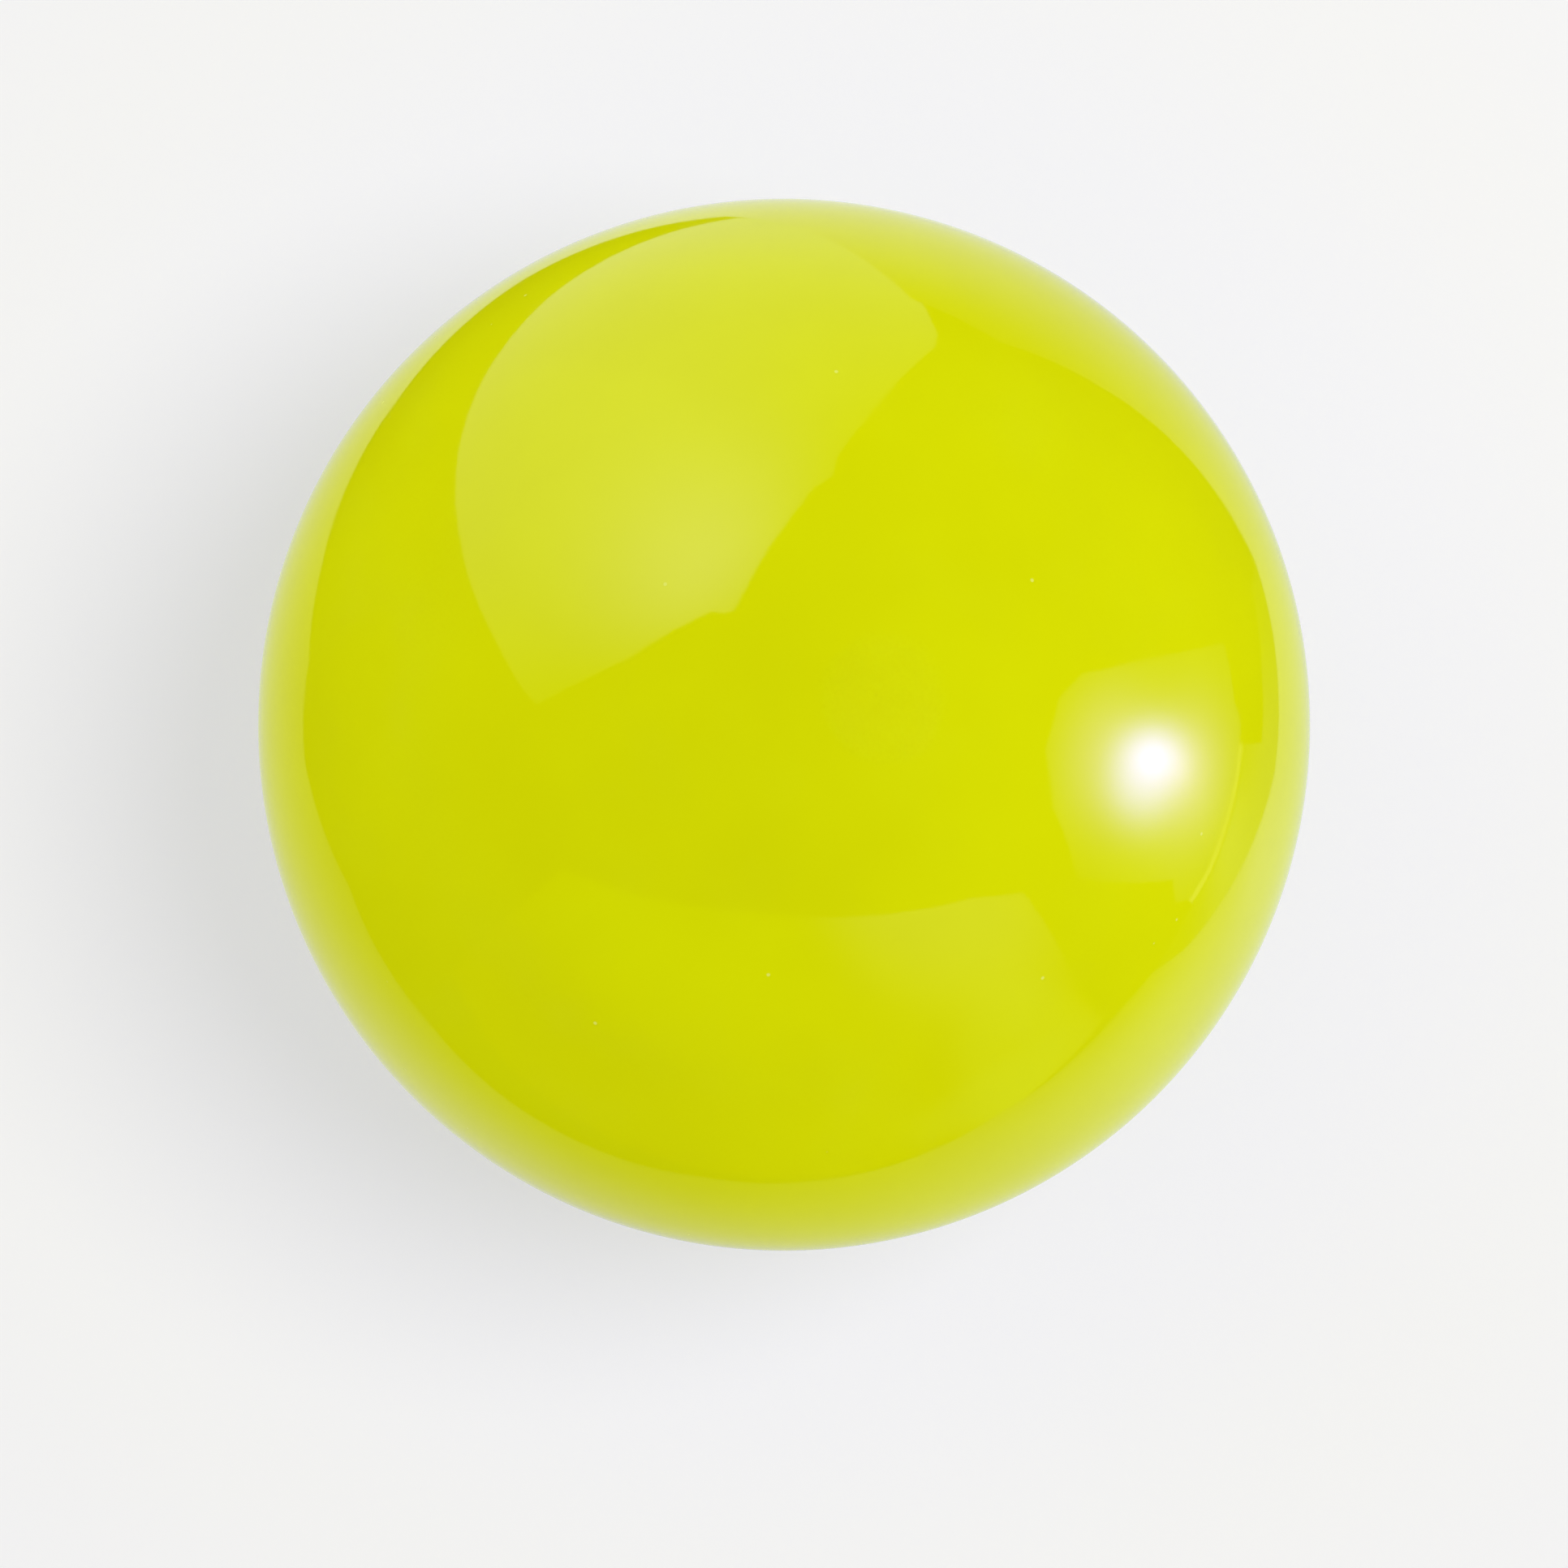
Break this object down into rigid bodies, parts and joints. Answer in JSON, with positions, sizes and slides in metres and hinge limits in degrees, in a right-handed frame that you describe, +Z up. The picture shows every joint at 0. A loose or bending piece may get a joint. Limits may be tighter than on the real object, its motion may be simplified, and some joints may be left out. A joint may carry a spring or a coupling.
{
  "type": "play ball",
  "caption": "Hollow inflatable vinyl play ball with a flush moulded valve; a ribbed plug pulls straight out of a flanged seat for inflating.",
  "frame": {"origin": "centre of the ball", "axes": "+Z up; +X along the valve's axis, out of the ball"},
  "size_m": [0.2296, 0.23, 0.23],
  "materials": {
    "lime_vinyl": "gloss",
    "seat_vinyl": "satin",
    "plug_plastic": "satin"
  },
  "bodies": {
    "ball": {"ball_shell": "lime_vinyl", "valve_seat": "seat_vinyl"},
    "plug": {"valve_plug": "plug_plastic"}
  },
  "joints": [
    {"name": "plug_pull", "type": "slide", "parent": "ball", "child": "plug", "axis": [1, 0, 0], "range_m": [0, 0.03]}
  ]
}
